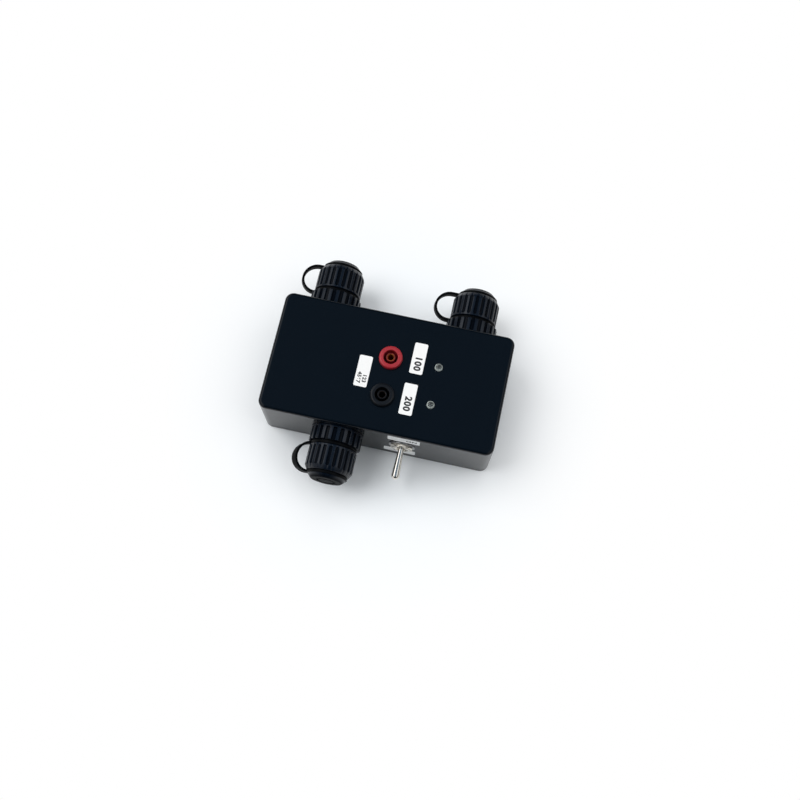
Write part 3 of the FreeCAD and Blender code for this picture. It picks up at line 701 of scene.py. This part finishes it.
# The last entry is a depth given to the cap's cone and end, so that they take painted shade
capSizes = {"radius": 15.3, "bore": 12.8, "start": 12.0, "shoulder": 28.4, "floor": 26.5,
            "bevelStart": 25.4, "bevelRadius": 13.6, "neckRadius": 11.4, "neckEnd": 30.4,
            "coneBase": 12.4, "coneEnd": 10.0, "end": 32.9, "ringRadius": 6.2, "ringWidth": 1.4,
            "ringDepth": 0.5, "edge": 0.15, "grooves": 24, "grooveWidth": 1.7, "grooveDepth": 0.9,
            "grooveStart": 13.3, "grooveEnd": 25.8, "carveFrom": 14.8, "wallFade": (-0.22, 0.4),
            "wallRows": (-0.1, 0.04, 0.18, 0.32, 0.46, 0.8),
            "endRows": (-0.12, 0.0, 0.1, 0.22, 0.4, 0.62, 0.85), "endShade": 0.8}


def screwCap(name, move):
    size = capSizes
    ringOuter = size["ringRadius"]
    ringInner = ringOuter - size["ringWidth"]
    ringFloor = size["end"] - size["ringDepth"]
    outline = softened([
        (size["bore"], size["start"]), (size["radius"], size["start"], 0.45),
        (size["radius"], size["bevelStart"], 0.5), (size["bevelRadius"], size["shoulder"], 0.35),
        (size["neckRadius"], size["shoulder"], 0.3),
        (size["neckRadius"], size["neckEnd"], 0.2), (size["coneBase"], size["neckEnd"], 0.25),
        (size["coneEnd"], size["end"], 0.45), (ringOuter, size["end"]), (ringOuter, ringFloor),
        (ringInner, ringFloor), (ringInner, size["end"]), (0.0, size["end"], 0.0),
        (0.0, size["floor"], 0.0), (size["bore"], size["floor"])], size["edge"])
    half = size["grooveWidth"] / 2
    first = size["grooveStart"] + half
    last = size["grooveEnd"] - half
    stations = [17.0, 20.0, 22.5]
    for row in size["endRows"]:
        stations += [size["grooveStart"] + row, size["grooveEnd"] - row]
    outline = withStations(outline, stations, size["carveFrom"])
    wall = [half + row for row in size["wallRows"]]
    angles = ribAngles(size["grooves"], size["radius"], [0.0, 0.3, 0.6] + wall)

    # a round-ended grip groove is all that lies within half its width of its middle line
    def carve(angle, station, radius):
        if radius < size["radius"] - size["grooveDepth"] or station > size["shoulder"] - 0.5:
            return radius
        across = acrossGroove(angle, size["grooves"], size["radius"])
        along = max(first - station, 0.0, station - last)
        away = math.hypot(across, along)
        sunk = min(radius, size["radius"] - size["grooveDepth"])
        return radius + (sunk - radius) * grooveMask(away, half, size["wallFade"])

    mesh = turned(outline, angles, carve)
    sunk = mesh.verts.layers.float["sunk"]
    for vertex in mesh.verts:  # the cone and its end take the grooves' painted shade in full
        if vertex.co.y > size["neckEnd"] + 0.3:
            vertex[sunk] = size["endShade"]
    cap = makePiece(name + "_grip_cap", mesh, "capPlastic", move, name + "_cap")
    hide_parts(name + "_cap")


strapSizes = {"rootRadius": 14.6, "rootBore": 12.8, "rootStart": 9.6, "rootLength": 2.1,
              "endRadius": 13.0, "endBore": 11.7, "endStart": 28.6, "endLength": 1.6,
              "rootOverlap": (1.2, 0.4), "endOverlap": (0.2, 1.0), "thickness": 1.6, "width": 4.6,
              "edge": 0.3, "loopSteps": 32, "sides": 96,
              "bendStart": 12.0, "bendEnd": 28.0}  # between these the strap follows the cap
strapLoops = {"front": {"bulge": 13.7, "twist": 48.0},
              "back_left": {"bulge": 15.7, "twist": 12.0},
              "back_right": {"bulge": 17.1, "twist": 10.0}}


# The strap's path in its own plane: out from one ring, round, and back to the other
def strapPath(size, bulge):
    rootMiddle = size["rootStart"] + size["rootLength"] / 2
    endMiddle = size["endStart"] + size["endLength"] / 2
    bend = (endMiddle - rootMiddle) / 2
    centre = (rootMiddle + endMiddle) / 2
    root = min(size["rootRadius"], bulge)
    path = [(root - overlap, rootMiddle) for overlap in size["rootOverlap"]]
    path += arcOutline((bulge, centre), bend, -math.pi / 2, math.pi / 2, size["loopSteps"])
    path += [(size["endRadius"] - overlap, endMiddle) for overlap in size["endOverlap"]]
    return path


# Flat band along the path; its twist is strongest past the middle of the loop
def bandMesh(path, size, twist):
    mesh = bmesh.new()
    halfThick, halfWide = size["thickness"] / 2, size["width"] / 2
    section = softened([(-halfThick, -halfWide), (halfThick, -halfWide), (halfThick, halfWide),
                        (-halfThick, halfWide)], size["edge"])
    rows = []
    count = len(path)
    for index, (out, station) in enumerate(path):
        before = Vector(path[max(index - 1, 0)])
        after = Vector(path[min(index + 1, count - 1)])
        along = (after - before).normalized()
        share = index / (count - 1)
        turn = math.radians(twist) * math.sin(math.pi * share) ** 2 * (0.35 + 0.9 * share)
        row = []
        for thick, wide in section:
            outwards = thick * math.cos(turn) - wide * math.sin(turn)
            up = thick * math.sin(turn) + wide * math.cos(turn)
            row.append(mesh.verts.new((-(out + along.y * outwards),
                                       station - along.x * outwards, up)))
        rows.append(row)
    joinRows(mesh, rows, len(section), around=False)
    mesh.faces.new(rows[0])
    mesh.faces.new(list(reversed(rows[-1])))
    bmesh.ops.recalc_face_normals(mesh, faces=mesh.faces)
    return mesh


# The ring at the strap's "root" behind the cap or at its "end" in the cap's neck
def ringMesh(size, which):
    radius, bore = size[which + "Radius"], size[which + "Bore"]
    start = size[which + "Start"]
    end = start + size[which + "Length"]
    outline = softened([(bore, start), (radius, start), (radius, end), (bore, end)], size["edge"])
    return turned(outline, evenAngles(size["sides"]))


# Pieces of one moulding made one closed mesh
def fused(meshes):
    parts = []
    for mesh in meshes:
        data = bpy.data.meshes.new("part")
        mesh.to_mesh(data)
        mesh.free()
        parts.append(addObject("part", data))
    for part in parts[1:]:
        union = parts[0].modifiers.new("union", "BOOLEAN")
        union.operation = "UNION"
        union.solver = "EXACT"
        union.object = part
    view = bpy.context.evaluated_depsgraph_get()
    joined = bmesh.new()
    joined.from_mesh(parts[0].evaluated_get(view).to_mesh())
    for part in parts:
        bpy.data.objects.remove(part)
    return joined


def capStrap(name, x, side, move):
    size = strapSizes
    loop = strapLoops[name]
    band = bandMesh(strapPath(size, loop["bulge"]), size, loop["twist"])
    if side < 0:  # the loop hangs on the -X side of every socket
        band.transform(Matrix.Scale(-1, 4, (1, 0, 0)))
        bmesh.ops.reverse_faces(band, faces=band.faces)
    mesh = fused([ringMesh(size, "root"), ringMesh(size, "end"), band])
    strap = makePiece(name + "_strap", mesh, "strapPlastic", move, None)
    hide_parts(name + "_cap_strap")
    near, far = (Vector((x, side * (wallFace + size[place]), axisHeight)) * mm
                 for place in ("bendStart", "bendEnd"))
    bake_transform(strap, "box", name + "_seal", start=near, end=far)


for socketName, (socketX, socketSide) in sockets.items():
    socketMove = socketPlace(socketX, socketSide)
    socketShell(socketName, socketMove)
    clampRing(socketName, socketMove)
    screwCap(socketName, socketMove)
    capStrap(socketName, socketX, socketSide, socketMove)
print("cable sockets made")


boxTop = 46.0
upright = Matrix.Rotation(math.pi / 2, 4, "X")  # turns +Y to +Z


def topPlace(x, y):
    return Matrix.Translation((x, y, boxTop)) @ upright


jackSizes = {"flangeRadius": 7.5, "flangeHeight": 3.0, "barrelRadius": 5.9, "bottom": -20.0,
             "recessRadius": 4.6, "recessDepth": 14.0, "sleeveRadius": 2.9, "sleeveSetback": 0.6,
             "bore": 2.4, "edge": 0.25, "sides": 96}
# The red jack's sleeve is drawn in a darker red as painted shade
jacks = {"red": {"at": (0.0, 9.0), "housing": "jackRed", "sleeve": "shadedJackRed",
                 "slot": "red_plastic"},
         "black": {"at": (0.0, -16.0), "housing": "jackBlack", "sleeve": "jackBlack",
                   "slot": "jack_black"}}


# Housing with its recess, and the sleeve round the contact that rises from the recess floor
def jackBody(name, look):
    size = jackSizes
    top = size["flangeHeight"]
    floor = top - size["recessDepth"]
    sleeveTop = top - size["sleeveSetback"]
    outline = softened([
        (size["bore"], size["bottom"]), (size["barrelRadius"], size["bottom"]),
        (size["barrelRadius"], 0.0, 0.0), (size["flangeRadius"], 0.0, 0.1),
        (size["flangeRadius"], top, 1.3), (size["recessRadius"], top, 0.35),
        (size["recessRadius"], floor), (size["bore"], floor)], size["edge"])
    move = topPlace(*look["at"])
    mesh = turned(outline, evenAngles(size["sides"]))
    body = makePiece(name + "_jack_housing", mesh, look["housing"], move)
    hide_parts(name + "_jack_body")
    outline = softened([
        (size["bore"], floor), (size["sleeveRadius"], floor),
        (size["sleeveRadius"], sleeveTop, 0.3), (size["bore"], sleeveTop, 0.15)], size["edge"])
    mesh = turned(outline, evenAngles(size["sides"]))
    makePiece(name + "_jack_sleeve", mesh, look["sleeve"], move)


for jackName, jackLook in jacks.items():
    jackBody(jackName, jackLook)
print("jacks made")


lampSizes = {"radius": 2.5, "reach": 2.2, "length": 8.6, "flangeRadius": 2.9, "flangeHeight": 1.0,
             "domeSteps": 16, "sides": 48}
cupSizes = {"radius": 1.15, "floorRadius": 0.4, "depth": 0.7, "height": -0.9, "postWidth": 0.55,
            "postSpacing": 2.54, "foot": -5.6, "sides": 32}
lamps = {"upper": (30.8, 9.5), "lower": (30.8, -15.5)}


def lampLens(name, move):
    size = lampSizes
    bottom = size["reach"] - size["length"]
    outline = [(0.0, bottom), (size["flangeRadius"], bottom),
               (size["flangeRadius"], bottom + size["flangeHeight"]),
               (size["radius"], bottom + size["flangeHeight"])]
    centre = (0.0, size["reach"] - size["radius"])
    outline += arcOutline(centre, size["radius"], 0.0, math.pi / 2, size["domeSteps"])
    outline[-1] = (0.0, size["reach"])
    mesh = turned(outline, evenAngles(size["sides"]), closed=False)
    lens = makePiece(name + "_lamp_lens", mesh, "lampResin", move)
    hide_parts(name + "_lamp")


# Two posts inside the resin; one ends in the cup that holds the chip
def lampPosts(name, move):
    size = cupSizes
    rim, top = size["radius"], size["height"]
    floor = top - size["depth"]
    outline = [(0.0, floor), (size["floorRadius"], floor), (rim * 0.86, top - 0.12), (rim, top),
               (rim, floor - 0.5), (0.0, floor - 0.9)]
    mesh = turned(outline, evenAngles(size["sides"]), closed=False)
    for side, postTop in ((-1, floor - 0.6), (1, top + 0.1)):
        width = size["postWidth"]
        middle = (side * size["postSpacing"] / 2, (postTop + size["foot"]) / 2, 0)
        shape = Matrix.Diagonal((width, postTop - size["foot"], width, 1))
        bmesh.ops.create_cube(mesh, size=1.0, matrix=Matrix.Translation(middle) @ shape)
    makePiece(name + "_lamp_posts", mesh, "postSteel", move)


for lampName, lampAt in lamps.items():
    lampMove = topPlace(*lampAt)
    lampLens(lampName, lampMove)
    lampPosts(lampName, lampMove)
print("lamps made")


# Toggle switch, drawn along +Y outwards from the front wall and then turned to the front
switchX = 18.0
switchMove = socketPlace(switchX, -1)


# Stamped plate with a round hole, seen from the front as width by height
def platedHole(width, height, back, front, hole, sides):
    mesh = bmesh.new()
    rows = []
    for angle in evenAngles(sides):
        across, up = math.sin(angle), math.cos(angle)
        reach = min(width / 2 / max(abs(across), 1e-6), height / 2 / max(abs(up), 1e-6))
        section = ((hole, back), (reach, back), (reach, front), (hole, front))
        rows.append([mesh.verts.new((radius * across, station, radius * up))
                     for radius, station in section])
    joinRows(mesh, rows, 4)
    bmesh.ops.recalc_face_normals(mesh, faces=mesh.faces)
    return mesh


bushingSizes = {"radius": 5.95, "reach": 2.7, "back": -3.5, "bore": 3.5, "mouth": 4.4,
                "mouthDepth": 0.9, "neck": 3.0, "neckLength": 0.6, "edge": 0.1, "pitch": 0.75,
                "threadDepth": 0.3, "threadRows": 49, "threadStep": 0.125, "carveFrom": 5.8,
                "plateWidth": 14.6, "plateHeight": 27.0, "plateFront": -2.5, "plateSides": 96,
                "sides": 72}


def switchBushing():
    size = bushingSizes
    neckFront = size["reach"] - size["mouthDepth"]
    neckBack = neckFront - size["neckLength"]
    outline = softened([
        (size["bore"], size["back"]), (size["radius"], size["back"]),
        (size["radius"], size["reach"], 0.35), (size["mouth"], size["reach"], 0.2),
        (size["mouth"] - 0.3, neckFront, 0.1),
        (size["neck"], neckFront, 0.15), (size["neck"], neckBack), (size["bore"], neckBack)],
        size["edge"])
    stations = [size["back"] + size["threadStep"] * step for step in range(size["threadRows"])]
    outline = withStations(outline, stations, size["carveFrom"])

    def carve(angle, station, radius):
        if radius < size["carveFrom"]:
            return radius
        phase = (station / size["pitch"] - angle / (2 * math.pi)) % 1.0
        return radius - size["threadDepth"] * smoothStep(0.1, 0.5, 0.5 - abs(phase - 0.5))

    plate = platedHole(size["plateWidth"], size["plateHeight"], size["back"], size["plateFront"],
                       size["radius"] - 0.6, size["plateSides"])
    mesh = fused([turned(outline, evenAngles(size["sides"]), carve), plate])
    bushing = makePiece("switch_threaded_bushing", mesh, "nickel", switchMove)
    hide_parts("switch_bushing")


switchNutSizes = {"flats": 14.0, "start": 0.6, "thickness": 1.6, "bore": 6.0, "chamfer": 0.55,
                  "edge": 0.1, "sides": 144}


def switchNut():
    size = switchNutSizes
    end = size["start"] + size["thickness"]
    flat = size["flats"] / 2
    corner = flat / math.cos(math.pi / 6)
    outline = softened([
        (size["bore"], size["start"]), (corner, size["start"], 0.0), (corner, end, 0.0),
        (size["bore"], end, 0.25)], size["edge"])
    shares = (0.08, 0.2, 0.35, 0.65, 0.8, 0.92)
    outline = withStations(outline, [size["start"] + share * size["thickness"] for share in shares],
                           flat)

    # flats between corners that lie along X, with the corners turned off at both faces
    def carve(angle, station, radius):
        if radius < flat:
            return radius
        swing = (angle + math.pi / 3) % (math.pi / 3) - math.pi / 6
        side = flat / math.cos(swing)
        depth = min(station - size["start"], end - station)
        turnedOff = flat - 0.05 + depth * (corner - flat) / size["chamfer"]
        return min(side, max(turnedOff, flat - 0.05))

    mesh = turned(outline, [math.pi / 6 + angle for angle in evenAngles(size["sides"])], carve)
    nut = makePiece("switch_hex_nut", mesh, "satinNickel", switchMove, sharpFrom=20.0)
    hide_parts("switch_nut")


washerSizes = {"radius": 8.6, "bore": 6.05, "thickness": 0.6, "edge": 0.12, "teeth": 12,
               "notchWidth": 1.3, "notchDepth": 1.0, "wallFade": (-0.08, 0.08),
               "wallRows": (-0.1, 0.05, 0.3)}


def switchWasher():
    size = washerSizes
    front = size["thickness"]
    outline = softened([(size["bore"], 0.0), (size["radius"], 0.0), (size["radius"], front),
                        (size["bore"], front)], size["edge"])
    half = size["notchWidth"] / 2
    wall = [half + row for row in size["wallRows"]]
    angles = ribAngles(size["teeth"], size["radius"], [0.0] + wall)
    floor = size["radius"] - size["notchDepth"]

    def carve(angle, station, radius):
        if radius < floor:
            return radius
        across = acrossGroove(angle, size["teeth"], size["radius"])
        return radius - (radius - floor) * grooveMask(abs(across), half, size["wallFade"])

    mesh = turned(outline, angles, carve)
    washer = makePiece("switch_toothed_washer", mesh, "steel", switchMove)
    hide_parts("switch_lock_washer")


leverSizes = {"tilt": 12.0, "pivot": -2.0, "length": 24.2, "rootRadius": 1.75, "tipRadius": 2.7,
              "ballRadius": 3.2, "tailRadius": 1.2, "tailLength": 6.0, "ballSteps": 24,
              "shaftSteps": 16, "tipSteps": 12, "sides": 48}


# Tail, ball, a shaft that widens outwards and a round tip
def switchLever():
    size = leverSizes
    outline = [(0.0, -size["tailLength"]), (size["tailRadius"] * 0.7, -size["tailLength"]),
               (size["tailRadius"], -size["tailLength"] + 0.4)]
    start = -math.sqrt(size["ballRadius"] ** 2 - size["tailRadius"] ** 2)
    end = math.sqrt(size["ballRadius"] ** 2 - size["rootRadius"] ** 2)
    first = math.atan2(start, size["tailRadius"])
    last = math.atan2(end, size["rootRadius"])
    outline += arcOutline((0.0, 0.0), size["ballRadius"], first, last, size["ballSteps"])
    tip = size["length"] - size["tipRadius"]
    for step in range(1, size["shaftSteps"] + 1):
        share = step / size["shaftSteps"]
        radius = size["rootRadius"] + (size["tipRadius"] - size["rootRadius"]) * share ** 1.15
        outline.append((radius, end + (tip - end) * share))
    outline += arcOutline((0.0, tip), size["tipRadius"], 0.0, math.pi / 2, size["tipSteps"])[1:]
    outline[-1] = (0.0, size["length"])
    tilt = Matrix.Rotation(-math.radians(size["tilt"]), 4, "X")
    move = switchMove @ Matrix.Translation((0, size["pivot"], 0)) @ tilt
    mesh = turned(outline, evenAngles(size["sides"]), closed=False)
    lever = makePiece("switch_bat_lever", mesh, "nickel", move, "switch_lever")
    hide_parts("switch_lever")


switchBushing()
switchNut()
switchWasher()
switchLever()
print("switch made")


# Marks on the labels: text, place of its middle, height of the type, and the wall it stands on
marks = {
    "upper_mark": ("100", (17.3, 9.2, 46.15), 5.8, "top"),
    "lower_mark": ("200", (16.4, -17.9, 46.15), 5.8, "top"),
    "left_mark_first": ("123", (-13.4, -7.6, 46.15), 3.3, "top"),
    "left_mark_second": ("4567", (-16.9, -7.4, 46.15), 3.3, "top"),
    "on_mark": ("ON", (24.0, -39.65, 38.3), 4.2, "front"),
    "off_mark": ("OFF", (16.5, -39.65, 10.4), 4.2, "front"),
}
markStands = {"top": Matrix.Rotation(math.radians(-90.0), 4, "Z"), "front": upright}
ink = {"thickness": 0.03, "spacing": 1.14, "boldness": 0.044, "curveSteps": 10}


def printMark(name, text, place, height, wall):
    glyphs = bpy.data.curves.new(name, "FONT")
    glyphs.body = text
    glyphs.size = height
    glyphs.align_x = "CENTER"
    glyphs.align_y = "CENTER"
    glyphs.space_character = ink["spacing"]
    glyphs.offset = ink["boldness"] * height
    glyphs.extrude = ink["thickness"] / 2
    glyphs.resolution_u = ink["curveSteps"]
    line = addObject(name + "_text", glyphs)
    view = bpy.context.evaluated_depsgraph_get()
    mesh = bmesh.new()
    mesh.from_mesh(line.evaluated_get(view).to_mesh())
    bpy.data.objects.remove(line)
    bmesh.ops.remove_doubles(mesh, verts=mesh.verts, dist=1e-5)
    move = Matrix.Translation(place) @ markStands[wall]
    makePiece(name, mesh, "labelInk", move, sharpFrom=30.0)


for markName, markLook in marks.items():
    printMark(markName, *markLook)
print("marks printed")
